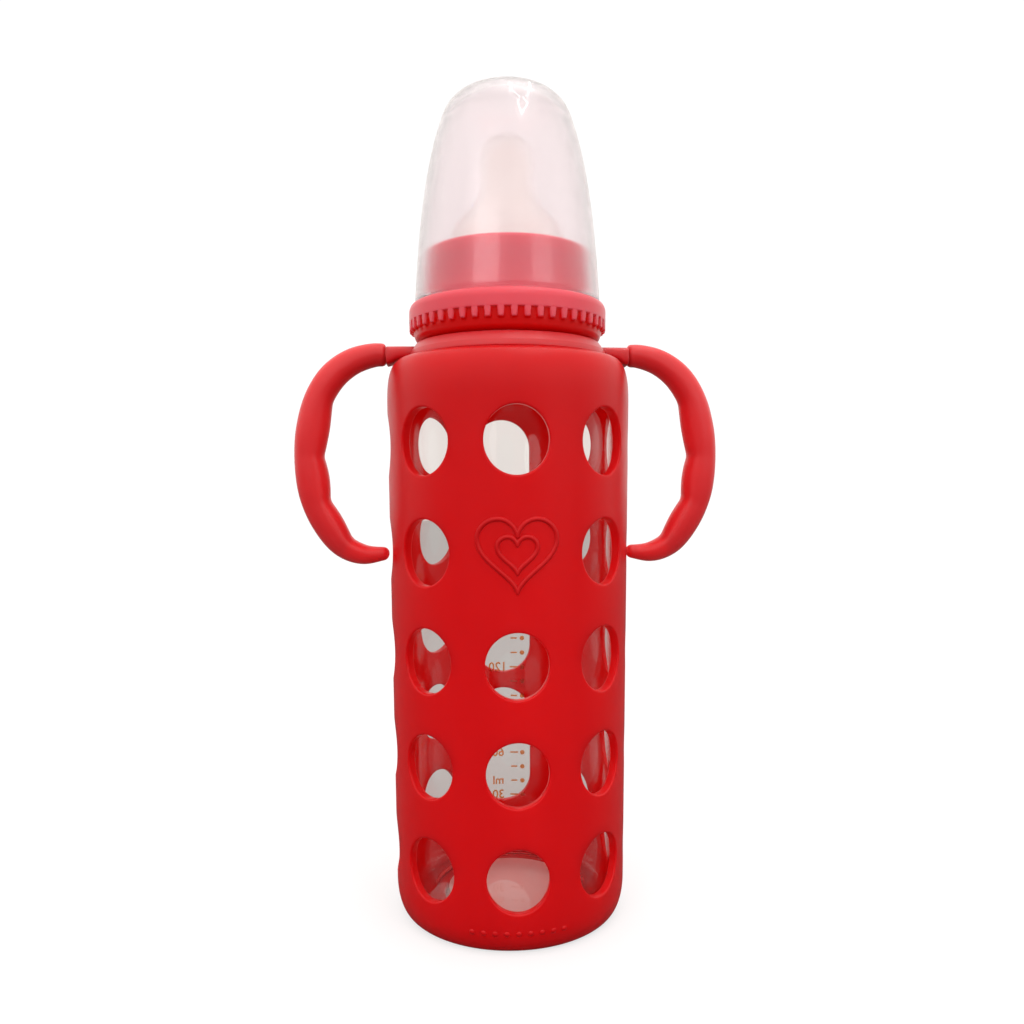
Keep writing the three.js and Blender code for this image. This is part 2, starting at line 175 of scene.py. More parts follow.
def eased(outline, radius, closed=True, steps=4):
    """The outline with each sharp corner rounded off to about the given radius."""
    count = len(outline)
    points = []
    for index, place in enumerate(outline):
        here = np.array(place, float)
        before = np.array(outline[index - 1], float) - here
        after = np.array(outline[(index + 1) % count], float) - here
        reach_before = np.linalg.norm(before)
        reach_after = np.linalg.norm(after)
        turn = math.pi - math.acos(
            np.clip(before @ after / max(reach_before * reach_after, 1e-9), -1, 1)
        )
        at_end = not closed and index in (0, count - 1)
        if at_end or turn < math.radians(20):
            points.append(tuple(here))
            continue
        reach = min(radius * math.tan(turn / 2), 0.45 * reach_before, 0.45 * reach_after)
        start = here + before / reach_before * reach
        end = here + after / reach_after * reach
        for t in np.linspace(0, 1, steps + 1):
            points.append(tuple((1 - t) ** 2 * start + 2 * t * (1 - t) * here + t**2 * end))
    return points


def refined_where(outline, longest, closed, chosen):
    """The outline with only those stretches divided that chosen(start, end) picks."""
    points = []
    for a, b in zip(outline, outline[1:] + outline[:1] if closed else outline[1:]):
        points += refined([a, b], longest, closed=False)[:-1] if chosen(a, b) else [a]
    return points if closed else points + [outline[-1]]


def smoothstep(start, end, values):
    share = np.clip((values - start) / (end - start), 0, 1)
    return share * share * (3 - 2 * share)


# ---- Meshes ----


def new_object(name, data):
    made = bpy.data.objects.new(name, data)
    bpy.context.scene.collection.objects.link(made)
    return made


def make_piece(name, part, body, replaced, material, sharp=45):
    """A smooth-shaded mesh piece from a part in millimetres, on its body."""
    vertices, faces = part
    mesh = bpy.data.meshes.new(name)
    mesh.from_pydata((np.asarray(vertices, float) * MM).tolist(), [], faces)
    work = bmesh.new()
    work.from_mesh(mesh)
    bmesh.ops.remove_doubles(work, verts=work.verts, dist=1e-6)
    bmesh.ops.recalc_face_normals(work, faces=work.faces)
    work.to_mesh(mesh)
    work.free()
    mesh.shade_smooth()
    mesh.set_sharp_from_angle(angle=math.radians(sharp))
    mesh.materials.append(material)
    piece = new_object(name, mesh)
    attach(piece, body)
    if replaced:
        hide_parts(*replaced)
    return piece


def joined(parts):
    """Several (vertices, faces) pairs as one pair."""
    vertices, faces = [], []
    for points, polygons in parts:
        start = sum(len(block) for block in vertices)
        vertices.append(np.asarray(points, float))
        faces += [tuple(index + start for index in polygon) for polygon in polygons]
    return np.vstack(vertices), faces


def ring_faces(count, sides, closed=False):
    """The quads that join rings of that many points, each ring to the next one."""
    faces = []
    for ring in range(count if closed else count - 1):
        here, following = ring * sides, (ring + 1) % count * sides
        for side in range(sides):
            beside = (side + 1) % sides
            faces.append((here + side, here + beside, following + beside, following + side))
    return faces


def end_fans(count, sides):
    """The triangles that close the first and the last ring to two points after all the rings."""
    pole, last_ring = count * sides, (count - 1) * sides
    faces = []
    for side in range(sides):
        beside = (side + 1) % sides
        faces.append((pole, beside, side))
        faces.append((pole + 1, last_ring + side, last_ring + beside))
    return faces


def turned(outline, steps, relief=None, strip=False):
    """Turns an outline about the Z axis. One that starts and ends on the axis is closed by two
    points there, a strip stays open, and any other is closed by its first point.
    relief(radius, height, angle) is added to the radius."""
    rows = np.array(outline, float)
    on_axis = rows[0, 0] < 1e-6
    body = rows[1:-1] if on_axis else rows
    angles = np.arange(steps) * 2 * math.pi / steps
    radius, angle = np.meshgrid(body[:, 0], angles, indexing="ij")
    height = np.meshgrid(body[:, 1], angles, indexing="ij")[0]
    if relief:
        radius = radius + relief(radius, height, angle)
    vertices = np.stack([radius * np.cos(angle), radius * np.sin(angle), height], -1)
    vertices = vertices.reshape(-1, 3)
    faces = ring_faces(len(body), steps, closed=not (on_axis or strip))
    if on_axis:
        poles = [[0, 0, rows[0, 1]], [0, 0, rows[-1, 1]]]
        vertices = np.vstack([vertices, poles])
        faces += end_fans(len(body), steps)
    return vertices, faces


def lofted(rings):
    """Joins rings of points, each with the same number, and closes both ends with a fan."""
    rings = [np.asarray(ring, float) for ring in rings]
    vertices = np.vstack(rings + [rings[0].mean(0)[None], rings[-1].mean(0)[None]])
    sides = len(rings[0])
    return vertices, ring_faces(len(rings), sides) + end_fans(len(rings), sides)


def thread_relief(root_radius, depth, start_height):
    """A thread ridge on the wall of that radius: it climbs a right-hand helix and fades out."""

    def relief(radius, height, angle):
        turns = (height - start_height) / THREAD_PITCH
        nearest = np.round(turns - angle / (2 * math.pi)) + angle / (2 * math.pi)
        away = np.abs(height - start_height - nearest * THREAD_PITCH)
        ridge = 1 - smoothstep(0.45, 1.15, away)
        fade = smoothstep(-0.02, 0.1, nearest) * (1 - smoothstep(-0.1, 0.02, nearest - THREAD_TURNS))
        on_wall = np.abs(radius - root_radius) < 0.01
        return np.where(on_wall, depth * ridge * fade, 0)

    return relief


# ---- Materials ----


def new_material(name, colour, roughness, **sockets):
    """A Principled material whose even values are set on the shader's own sockets."""
    material = bpy.data.materials.new(name)
    material.use_nodes = True
    shader = material.node_tree.nodes["Principled BSDF"]
    shader.inputs["Base Color"].default_value = (*colour, 1)
    shader.inputs["Roughness"].default_value = roughness
    for socket, value in sockets.items():
        shader.inputs[socket.replace("_", " ")].default_value = value
    return material


def add_node(tree, kind, inputs, **settings):
    """Adds a shader node. Each input is linked when it is given a socket, and set otherwise."""
    node = tree.nodes.new("ShaderNode" + kind)
    for name, value in settings.items():
        setattr(node, name, value)
    for name, value in inputs.items():
        if isinstance(value, bpy.types.NodeSocket):
            tree.links.new(value, node.inputs[name])
        else:
            node.inputs[name].default_value = value
    return node


def add_math(tree, operation, *inputs):
    node = add_node(tree, "Math", dict(enumerate(inputs)), operation=operation)
    return node.outputs["Value"]


def add_range(tree, value, start, end, first, last, **settings):
    inputs = {"Value": value, "From Min": start, "From Max": end, "To Min": first, "To Max": last}
    return add_node(tree, "MapRange", inputs, **settings).outputs["Result"]


def link_to_shader(material, output, socket):
    tree = material.node_tree
    tree.links.new(output, tree.nodes["Principled BSDF"].inputs[socket])


def show_surface(material, output):
    tree = material.node_tree
    tree.links.new(output, tree.nodes["Material Output"].inputs["Surface"])


def noise(material, scale, detail, stretch=(1, 1, 1)):
    """A noise pattern on the object's own coordinates, in cells per metre."""
    tree = material.node_tree
    place = add_node(tree, "TexCoord", {}).outputs["Object"]
    mapping = add_node(tree, "Mapping", {"Vector": place, "Scale": stretch})
    inputs = {"Vector": mapping.outputs["Vector"], "Scale": scale, "Detail": detail}
    return add_node(tree, "TexNoise", inputs).outputs["Fac"]


def vary_colour(material, pattern, first, second):
    """The base colour wanders between two colours. A pattern is what noise() is given."""
    ramp = add_node(material.node_tree, "ValToRGB", {"Fac": noise(material, *pattern)})
    for stop, place, colour in zip(ramp.color_ramp.elements, (0.3, 0.7), (first, second)):
        stop.position = place
        stop.color = (*colour, 1)
    link_to_shader(material, ramp.outputs["Color"], "Base Color")


def vary_roughness(material, pattern, smooth, rough):
    spread = add_range(material.node_tree, noise(material, *pattern), 0.3, 0.7, smooth, rough)
    link_to_shader(material, spread, "Roughness")


def add_bump(material, pattern, strength, depth):
    """Raises the surface by depth metres where the pattern is bright."""
    inputs = {"Strength": strength, "Distance": depth, "Height": noise(material, *pattern)}
    bump = add_node(material.node_tree, "Bump", inputs)
    link_to_shader(material, bump.outputs["Normal"], "Normal")


def let_light_through(material, tint):
    """Lamps and bounced light pass the surface unbent, so that what it encloses is lit."""
    tree = material.node_tree
    path = add_node(tree, "LightPath", {})
    rays = (path.outputs["Is Shadow Ray"], path.outputs["Is Diffuse Ray"])
    either = add_math(tree, "MAXIMUM", *rays)
    solid = tree.nodes["Principled BSDF"].outputs["BSDF"]
    clear = add_node(tree, "BsdfTransparent", {"Color": (*tint, 1)}).outputs["BSDF"]
    mix = add_node(tree, "MixShader", {"Fac": either, 1: solid, 2: clear})
    show_surface(material, mix.outputs["Shader"])


def glass_material(name, roughness, clearness):
    material = new_material(
        name, (0.93, 0.91, 0.90), roughness, Transmission_Weight=clearness, IOR=1.3
    )
    vary_colour(material, (30, 2), (0.95, 0.93, 0.92), (0.93, 0.91, 0.895))
    add_bump(material, (60, 2, (1, 1, 0.2)), 0.1, 0.0002)
    let_light_through(material, (0.97, 0.96, 0.955))
    return material


def sleeve_material(name, glow):
    """Deep red moulded silicone, which glows where it is thin, with faint upright flow lines."""
    material = new_material(
        name, (0.52, 0.003, 0.005), 0.34, Specular_IOR_Level=0.24,
        Subsurface_Weight=glow, Subsurface_Radius=(1.0, 0.02, 0.02), Subsurface_Scale=0.03,
    )
    vary_colour(material, (55, 3, (1, 1, 0.08)), (0.52, 0.002, 0.004), (0.57, 0.004, 0.006))
    vary_roughness(material, (140, 3), 0.30, 0.38)
    add_bump(material, (2600, 3), 0.25, 0.00006)
    return material


def coral_material(name, gloss, bloom, first, second, smooth):
    """Moulded coral plastic: a fine satin grain, a pale bloom and a slight clouding of the colour."""
    material = new_material(
        name, first, smooth, Specular_IOR_Level=gloss,
        Sheen_Weight=bloom, Sheen_Roughness=0.4, Sheen_Tint=(1.0, 0.55, 0.55, 1),
        Subsurface_Weight=0.3, Subsurface_Radius=(1.0, 0.03, 0.03), Subsurface_Scale=0.02,
    )
    vary_colour(material, (60, 3), first, second)
    vary_roughness(material, (160, 3), smooth, smooth + 0.08)
    add_bump(material, (2200, 3), 0.2, 0.00005)
    return material


def paint_deeper_red(material, radius, height, colour):
    """Paints the base colour deeper below a height, in millimetres, where the surface lies within a radius:
    used both for painted shade in the collar's recess and for a deeper red on its plinth.
    """
    tree = material.node_tree
    place = add_node(tree, "TexCoord", {}).outputs["Object"]
    split = add_node(tree, "SeparateXYZ", {"Vector": place}).outputs
    flat = add_node(tree, "CombineXYZ", {"X": split["X"], "Y": split["Y"]}).outputs["Vector"]
    reach = add_node(tree, "VectorMath", {0: flat}, operation="LENGTH").outputs["Value"]
    masks = [
        add_range(tree, value, (limit - 0.1) * MM, (limit + 0.1) * MM, 1, 0)
        for value, limit in ((reach, radius), (split["Z"], height))
    ]
    both = add_math(tree, "MULTIPLY", *masks)
    base = tree.nodes["Principled BSDF"].inputs["Base Color"].links[0].from_socket
    inputs = {0: both, 6: base, 7: (*colour, 1)}
    mix = add_node(tree, "Mix", inputs, data_type="RGBA")
    link_to_shader(material, mix.outputs[2], "Base Color")


def nipple_material():
    """Milky, half clear silicone."""
    colour = (0.98, 0.96, 0.94)
    material = new_material("milky_silicone", colour, 0.35, Transmission_Weight=0.94, IOR=1.05)
    vary_colour(material, (80, 2), (0.99, 0.97, 0.95), (0.97, 0.95, 0.93))
    add_bump(material, (900, 2), 0.2, 0.00005)
    let_light_through(material, (0.93, 0.91, 0.89))
    return material


def cap_material():
    """Frosted polypropylene: what is close behind it shows, and what is far away is lost."""
    material = new_material(
        "frosted_plastic", (0.93, 0.87, 0.885), 0.27,
        Transmission_Weight=0.985, IOR=1.25, Coat_Weight=0.8, Coat_Roughness=0.02,
    )
    vary_colour(material, (90, 2, (1, 1, 0.06)), (0.95, 0.9, 0.915), (0.91, 0.86, 0.875))
    add_bump(material, (1500, 2), 0.15, 0.00005)
    let_light_through(material, (0.95, 0.91, 0.92))
    return material


def ink_material():
    """Orange enamel, thin enough for the light behind it to show."""
    material = new_material("scale_ink", (0.92, 0.38, 0.15), 0.4, Transmission_Weight=0.85, IOR=1.05)
    vary_colour(material, (1500, 3), (0.94, 0.42, 0.17), (0.86, 0.33, 0.12))
    add_bump(material, (3000, 2), 0.2, 0.00003)
    return material


GLASS = glass_material("clear_glass", roughness=0.0, clearness=1.0)
STIPPLED_GLASS = glass_material("stippled_glass", roughness=0.3, clearness=0.6)
SLEEVE = sleeve_material("red_silicone", glow=0.5)
MOTIF = sleeve_material("red_silicone_motif", glow=0)
RING_PLASTIC = coral_material(
    "coral_plastic", gloss=0.6, bloom=0.05,
    first=(0.64, 0.012, 0.018), second=(0.59, 0.008, 0.013), smooth=0.30,
)
SOFT_GRIP = coral_material(
    "soft_grip", gloss=0.5, bloom=0.45,
    first=(0.82, 0.014, 0.018), second=(0.76, 0.010, 0.014), smooth=0.34,
)
# Its pale coral is partly painted sheen: the pale veil that broad studio light lays on the band, over a
# deeper red plastic. The band and the recess below are lit and shaded copies of one red.
COLLAR_PLASTIC = coral_material(
    "collar_plastic", gloss=0.4, bloom=0.0,
    first=(0.78, 0.075, 0.105), second=(0.73, 0.065, 0.09), smooth=0.28,
)
# A deeper, less pale red on the plinth and on all that lies within its radius, up to just above the collar's
# top.
paint_deeper_red(COLLAR_PLASTIC, PLINTH_RADIUS + 0.2, COLLAR_TOP + 1, (0.76, 0.018, 0.055))
# Painted shade: a deep, unlit red in the recess under the band, behind and below the teeth, where shade
# falls.
paint_deeper_red(COLLAR_PLASTIC, COLLAR_RADIUS - 0.4, RIB_TOP, (0.66, 0.0, 0.0))
NIPPLE_SILICONE = nipple_material()
FROSTED = cap_material()
INK = ink_material()


# ---- Glass bottle ----


def glass_bottle():
    shoulder = SLEEVE_TOP - 2.8
    inside = shoulder - 1.7
    outline = [
        (0, GLASS_BASE + 0.75),
        (12, GLASS_BASE + 0.75),
        *bend((18.5, GLASS_BASE + 0.7), (20.4, GLASS_BASE + 0.6), (20.4, GLASS_BASE), (22.2, GLASS_BASE), 8),
        (24, GLASS_BASE),
        *corner((24, GLASS_BASE + 5.2), GLASS_RADIUS - 24, 5.2, -84, 0, 14),
        *bend(
            (GLASS_RADIUS, SHOULDER_START), (GLASS_RADIUS, shoulder - 4.2),
            (GLASS_RADIUS - 1.2, shoulder), (24, shoulder), 14,
        ),
        *corner((21, shoulder + 3.4), 21 - NECK_RADIUS, 3.4, 270, 180, 10),
        *bend(
            (NECK_RADIUS, RING_TOP - 2.1), (NECK_RADIUS + 1.5, RING_TOP - 1.6),
            (NECK_RADIUS + 1.5, RING_TOP - 0.1), (NECK_RADIUS, RING_TOP + 0.4), 8,
        ),
        *corner((NECK_RADIUS - 0.8, RIM_HEIGHT - 0.8), 0.8, 0.8, 0, 90, 6),
        *corner((NECK_BORE + 0.8, RIM_HEIGHT - 0.8), 0.8, 0.8, 90, 180, 6),
        *bend((NECK_BORE, inside + 6.6), (NECK_BORE, inside + 2.5), (18.4, inside), (22.6, inside), 12),
        *bend((23.4, inside), (25.9, inside - 0.3), (GLASS_BORE, inside - 3.6), (GLASS_BORE, 134), 12),
        *corner((GLASS_BORE - 4, GLASS_FLOOR + 4), 4, 4, 0, -90, 12),
        (10, GLASS_FLOOR),
        (0, GLASS_FLOOR),
    ]
    threaded = refined_where(
        refined(outline, 2.0, closed=False),
        0.3,
        closed=False,
        chosen=lambda a, b: a[0] > NECK_RADIUS - 0.01 and b[0] < NECK_RADIUS + 0.01 and a[1] > RING_TOP,
    )
    glass = turned(threaded, 160, thread_relief(NECK_RADIUS, THREAD_DEPTH, THREAD_START))
    piece = make_piece("glass_body", glass, "bottle", ["glass_bottle"], GLASS)
    piece.data.materials.append(STIPPLED_GLASS)
    for polygon in piece.data.polygons:
        centre = polygon.center / MM
        if centre.z < GLASS_FLOOR - 0.4 and math.hypot(centre.x, centre.y) < STIPPLED_RADIUS:
            polygon.material_index = 1


# ---- Graduations printed on the back of the glass ----

MARK_HEIGHT = 20.0  # of the 30 ml mark
MARK_STEP = 4.4  # 10 ml
TICK_AT = -3.3  # across the print, to the reader's right
DOT_AT = -5.85
NUMBER_AT = 1.7
NUMBER_SIZE = 3.8
PRINT_LIFT = 0.03


def text_mesh(words, size):
    """A word as flat points and faces, centred, in the units of its size."""
    curve = bpy.data.curves.new("words", "FONT")
    curve.body = words
    curve.size = size
    curve.align_x = curve.align_y = "CENTER"
    curve.resolution_u = 3
    curve.offset = 0.07
    holder = new_object("words", curve)
    bpy.context.view_layer.update()
    mesh = bpy.data.meshes.new_from_object(holder.evaluated_get(bpy.context.evaluated_depsgraph_get()))
    points = np.array([v.co[:] for v in mesh.vertices])
    faces = [tuple(p.vertices) for p in mesh.polygons]
    bpy.data.objects.remove(holder)
    bpy.data.curves.remove(curve)
    bpy.data.meshes.remove(mesh)
    return points, faces


def flat_bar(width, height):
    """A thin bar with round ends, as flat points and one face."""
    right = corner((width / 2 - height / 2, 0), height / 2, height / 2, -90, 90, 6)
    left = corner((height / 2 - width / 2, 0), height / 2, height / 2, 90, 270, 6)
    points = np.array([(x, y, 0) for x, y in right + left])
    return points, [tuple(range(len(points)))]


def printed_scale():
    marks = []

    def put(shape, across, height):
        points, faces = shape
        marks.append((points + np.array([across, height, 0]), faces))

    for step in range(22):
        height = MARK_HEIGHT + step * MARK_STEP
        whole = step % 3 == 0
        put(flat_bar(2.6 if whole else 2.0, 0.45), TICK_AT, height)
        put(flat_bar(1.45, 1.4), DOT_AT, height)
        if whole:
            put(text_mesh(str(30 + 10 * step), NUMBER_SIZE), NUMBER_AT, height)
    put(text_mesh("ml", NUMBER_SIZE * 0.95), NUMBER_AT, MARK_HEIGHT + MARK_STEP)
    points, faces = joined(marks)
    radius = GLASS_RADIUS + PRINT_LIFT
    angle = math.pi / 2 + points[:, 0] / radius
    round_glass = np.stack([radius * np.cos(angle), radius * np.sin(angle), points[:, 1]], -1)
    piece = make_piece("glass_scale", (round_glass, faces), "bottle", [], INK)
    thick = piece.modifiers.new("ink", "SOLIDIFY")
    thick.thickness = 0.05 * MM
    thick.offset = 0


# ---- Silicone sleeve ----

CELL_STEPS = 16  # along each side of a hole's cell
SLOT_LEVELS = ((0, 30), (30, 55), (55, 80))  # the steps up the sleeve that bound each slot's cell
LEVEL_MARGIN = 0.05
CELL_HALF_ANGLE = math.pi / HOLE_COLUMNS
CELL_HALF_HEIGHT = HOLE_PITCH / 2
LOWEST_CELL = LOWEST_HOLE - CELL_HALF_HEIGHT
HIGHEST_CELL = LOWEST_CELL + HOLE_ROWS * HOLE_PITCH


def sleeve_outside():
    """The sleeve's outer outline, from the base plane up to the edge of its flat top."""
    return [
        *corner((SLEEVE_BASE_RADIUS - FOOT_WIDTH, FOOT_HEIGHT), FOOT_WIDTH, FOOT_HEIGHT, -90, 0, 28),
        *bend(
            (SLEEVE_RADIUS, SHOULDER_START), (SLEEVE_RADIUS, SHOULDER_START + 6),
            (30.4, SLEEVE_TOP + 0.1), (26.8, SLEEVE_TOP), 26,
        ),
    ]


def sleeve_inside():
    """The sleeve's inner outline, from the floor up to the underside of its lip."""
    underside = SLEEVE_TOP - LIP_WALL
    return [
        *corner((24, SLEEVE_FLOOR + 5.2), SLEEVE_BORE - 24, 5.2, -90, 0, 12),
        *bend(
            (SLEEVE_BORE, SHOULDER_START), (SLEEVE_BORE, underside - 4.3),
            (27.4, underside), (24.2, underside), 14,
        ),
    ]


def radius_by_height(outline):
    heights = [point[1] for point in outline]
    peak = int(np.argmax(heights)) + 1
    return lambda z: np.interp(z, heights[:peak], [point[0] for point in outline[:peak]])


OUTER_RADIUS = radius_by_height(sleeve_outside())
INNER_RADIUS = radius_by_height(sleeve_inside())


def front_points(radius, angle, height):
    """Points round the Z axis, at angles from the front."""
    return np.stack([radius * np.sin(angle), -radius * np.cos(angle), height], -1)


def wrapped(top, side):
    """Values round a cell, from those along its top and one side and their opposites."""
    return np.concatenate([top, side, -top, -side])


def opened_cell(bottom, top, side_steps, middle, half_width, half_height, straight):
    """One cell of the sleeve's wall, facing -Y, round an opening with filleted edges: an ellipse
    that is cut in two across the middle and drawn apart by straight sides of that half length."""
    centre, half_cell = (top + bottom) / 2, (top - bottom) / 2
    even = np.linspace(1, -1, CELL_STEPS + 1)[:-1]
    down = np.linspace(1, -1, side_steps + 1)[:-1]
    border_angle = wrapped(even, -np.ones(side_steps)) * CELL_HALF_ANGLE
    border_height = centre + wrapped(np.ones(CELL_STEPS), down) * half_cell

    # Points round the opening: a direction, and how far the straight side has carried it
    arc = half_width * math.pi / 4
    along = np.linspace(0, 2 * (arc + straight), side_steps + 1)[:-1]
    stops = [0, arc, arc + 2 * straight + 1e-9, 2 * (arc + straight)]
    quarter = math.pi / 4
    side_turn = np.interp(along, stops, [3 * quarter, 4 * quarter, 4 * quarter, 5 * quarter])
    side_carry = np.interp(along, stops, [straight, straight, -straight, -straight])
    top_turn = np.linspace(quarter, 3 * quarter, CELL_STEPS + 1)[:-1]
    turns = np.concatenate([top_turn, side_turn, top_turn + math.pi, side_turn + math.pi])
    carry = wrapped(np.full(CELL_STEPS, straight), side_carry)

    def edge_ring(spread, depth, wall):
        across = (half_width + spread) * np.cos(turns)
        height = middle + carry + (half_height + spread) * np.sin(turns)
        reach = np.sqrt(wall(height) ** 2 - across**2) - depth
        return np.stack([across, -reach, height], -1)

    def skin_rings(wall, spread, shares):
        """Rings between the cell's border and the opening's edge, on one skin of the wall."""
        edge = edge_ring(spread, 0, wall)
        edge_angle = np.arctan2(edge[:, 0], -edge[:, 1])
        rings = []
        for share in shares:
            angle = border_angle + (edge_angle - border_angle) * share
            height = border_height + (edge[:, 2] - border_height) * share
            rings.append(front_points(wall(height), angle, height))
        return rings

    fillet = np.radians(np.linspace(0, 90, 8))
    rings = skin_rings(OUTER_RADIUS, HOLE_EDGE, (0, 0.2, 0.4, 0.58, 0.74, 0.87, 0.95))
    for a in fillet:
        rings.append(edge_ring(HOLE_EDGE * (1 - math.sin(a)), HOLE_EDGE * (1 - math.cos(a)), OUTER_RADIUS))
    for a in fillet[::-1][::2]:
        spread = HOLE_INNER_EDGE * (1 - math.sin(a))
        rings.append(edge_ring(spread, -HOLE_INNER_EDGE * (1 - math.cos(a)), INNER_RADIUS))
    rings += skin_rings(INNER_RADIUS, HOLE_INNER_EDGE, (0.9, 0.7, 0.45, 0.2, 0))
    return np.vstack(rings), ring_faces(len(rings), len(turns))


def holed_cell(row, middle):
    """A round hole in the cell of that row."""
    bottom = LOWEST_CELL + row * HOLE_PITCH
    top = bottom + HOLE_PITCH
    return opened_cell(bottom, top, CELL_STEPS, middle, HOLE_HALF_WIDTH, HOLE_HALF_HEIGHT, 0)


def slotted_cell(slot, first, last):
    """A tall slot between two of the levels that the neighbouring cells divide their sides by."""
    level = 2 * CELL_HALF_HEIGHT / CELL_STEPS
    bottom, top = LOWEST_CELL + first * level, LOWEST_CELL + last * level
    middle = LOWEST_SLOT + slot * SLOT_PITCH
    straight = SLOT_LENGTH / 2 - SLOT_HALF_WIDTH
    return opened_cell(bottom, top, last - first, middle, SLOT_HALF_WIDTH, SLOT_HALF_WIDTH, straight)


def solid_cell(middle):
    """One cell of the sleeve's wall without a hole, facing -Y."""
    angle = np.linspace(-1, 1, CELL_STEPS + 1) * CELL_HALF_ANGLE
    height = middle + np.linspace(-1, 1, CELL_STEPS + 1) * CELL_HALF_HEIGHT
    grid_angle, grid_height = np.meshgrid(angle, height)
    walls = (OUTER_RADIUS, INNER_RADIUS)
    skins = [front_points(wall(grid_height), grid_angle, grid_height).reshape(-1, 3) for wall in walls]
    row = CELL_STEPS + 1
    faces = []
    for first in range(2 * row * row):
        place = first % (row * row)
        if place // row < CELL_STEPS and place % row < CELL_STEPS:
            faces.append((first, first + 1, first + row + 1, first + row))
    return np.vstack(skins), faces


def spun(part, angle):
    """A part turned about the Z axis."""
    points, faces = part
    c, s = math.cos(angle), math.sin(angle)
    return points @ np.array([[c, s, 0], [-s, c, 0], [0, 0, 1]]), faces


def silicone_sleeve():
    parts = []
    for row in range(HOLE_ROWS):
        middle = LOWEST_HOLE + row * HOLE_PITCH
        holed = holed_cell(row, middle)
        back_holed = holed_cell(row, BACK_LOWEST_HOLE + row * BACK_HOLE_PITCH)
        for column in range(HOLE_COLUMNS):
            if column == SLOT_COLUMN:
                continue
            cell = back_holed if abs(column - SLOT_COLUMN) == 1 else holed
            if column == 0 and row == BADGE_ROW:
                cell = solid_cell(middle)
            parts.append(spun(cell, column * 2 * CELL_HALF_ANGLE))
    for slot, (first, last) in enumerate(SLOT_LEVELS):
        parts.append(spun(slotted_cell(slot, first, last), SLOT_COLUMN * 2 * CELL_HALF_ANGLE))

    def end_strip(level, outer, edge, inner):
        """Joins both skins of the wall past the cells: from a level, round an edge and back."""
        outline = [(OUTER_RADIUS(level), level)] + outer + refined(edge, 1.5, closed=False)[1:-1]
        outline += inner + [(INNER_RADIUS(level), level)]
        parts.append(turned(outline, CELL_STEPS * HOLE_COLUMNS, strip=True))

    skins = (sleeve_outside(), sleeve_inside())
    foot, heel = ([p for p in skin if p[1] < LOWEST_CELL - LEVEL_MARGIN] for skin in skins)
    base = [foot[0], (BASE_OPENING, 0), (BASE_OPENING, SLEEVE_FLOOR), heel[0]]
    end_strip(LOWEST_CELL, foot[::-1], eased(base, 0.6, closed=False), heel)
    shoulder, ceiling = ([p for p in skin if p[1] > HIGHEST_CELL + LEVEL_MARGIN] for skin in skins)
    lip = [shoulder[-1], (LIP_RADIUS, SLEEVE_TOP), (LIP_RADIUS, SLEEVE_TOP - LIP_WALL), ceiling[-1]]
    end_strip(HIGHEST_CELL, shoulder, eased(lip, 0.5, closed=False), ceiling[::-1])
    replaced = ["silicone_sleeve"]
    make_piece("sleeve_skin", joined(parts), "bottle", replaced, SLEEVE, sharp=70)


# ---- Raised motif on the sleeve ----

MOTIF_LINE = 0.55  # half width of the raised line
MOTIF_RISE = 0.42
DOT_COUNT = 9
DOT_PITCH = 2.9
DOT_HEIGHT = 5.6
DOT_RADIUS = 0.75


def heart(size, middle, count):
    """A heart's outline as points of across and height."""
    t = np.linspace(0, 2 * math.pi, count, endpoint=False)
    across = 16 * np.sin(t) ** 3
    up = 13 * np.cos(t) - 5 * np.cos(2 * t) - 2 * np.cos(3 * t) - np.cos(4 * t)
    return np.stack([across, up + 2], -1) * size / 32 + [0, middle]


def raised_line(outline):
    """A closed rounded ridge along an outline, bent round the sleeve's front."""
    before, after = np.roll(outline, 1, 0), np.roll(outline, -1, 0)
    tangent = after - before
    tangent /= np.maximum(np.linalg.norm(tangent, axis=1), 1e-9)[:, None]
    side = np.stack([-tangent[:, 1], tangent[:, 0]], -1)
    sides = 12
    rings = []
    for step in range(sides):
        angle = 2 * math.pi * step / sides
        flat = outline + side * MOTIF_LINE * math.cos(angle)
        radius = OUTER_RADIUS(flat[:, 1]) + MOTIF_RISE * math.sin(angle)
        rings.append(front_points(radius, flat[:, 0] / SLEEVE_RADIUS, flat[:, 1]))
    return np.vstack(rings), ring_faces(sides, len(outline), closed=True)


def raised_dot(across, height):
    """A low dome on the sleeve's foot."""
    radius = float(OUTER_RADIUS(height))
    ahead = float(OUTER_RADIUS(height + 0.4))
    lean = math.atan2(ahead - radius, 0.4)
    outline = [(0, 0.32)] + corner((0, -0.12), DOT_RADIUS, 0.44, 78, -10, 7) + [(0, -0.2)]
    points, faces = turned(outline, 20)
    tilt = np.array(Matrix.Rotation(math.pi / 2 + lean, 3, "X"))
    points = points @ tilt.T + [0, -radius, height]
    return spun((points, faces), across / radius)


def sleeve_motifs():
    middle = LOWEST_HOLE + BADGE_ROW * HOLE_PITCH
    badge = [raised_line(heart(size, middle, count)) for size, count in ((19, 160), (9.5, 100))]
    make_piece("sleeve_badge", joined(badge), "bottle", [], MOTIF)
    half = (DOT_COUNT - 1) / 2
    dots = [raised_dot((index - half) * DOT_PITCH, DOT_HEIGHT) for index in range(DOT_COUNT)]
    make_piece("sleeve_dots", joined(dots), "bottle", [], MOTIF)


# ---- Handles ----

# The middle line of the right-hand loop, from the arm's end round to the lower tip
LOOP_POINTS = [
    (ARM_END + GAP, ARM_MIDDLE), (34.5, 147.3), (40, 145.7), (45, 142),
    (49, 135.8), (51, 128.3), (51.4, 119.8), (50.4, 111.8),
    (47.6, 104.6), (43.4, 98.8), (38.2, 96.2), (31.45, 96.1),
]

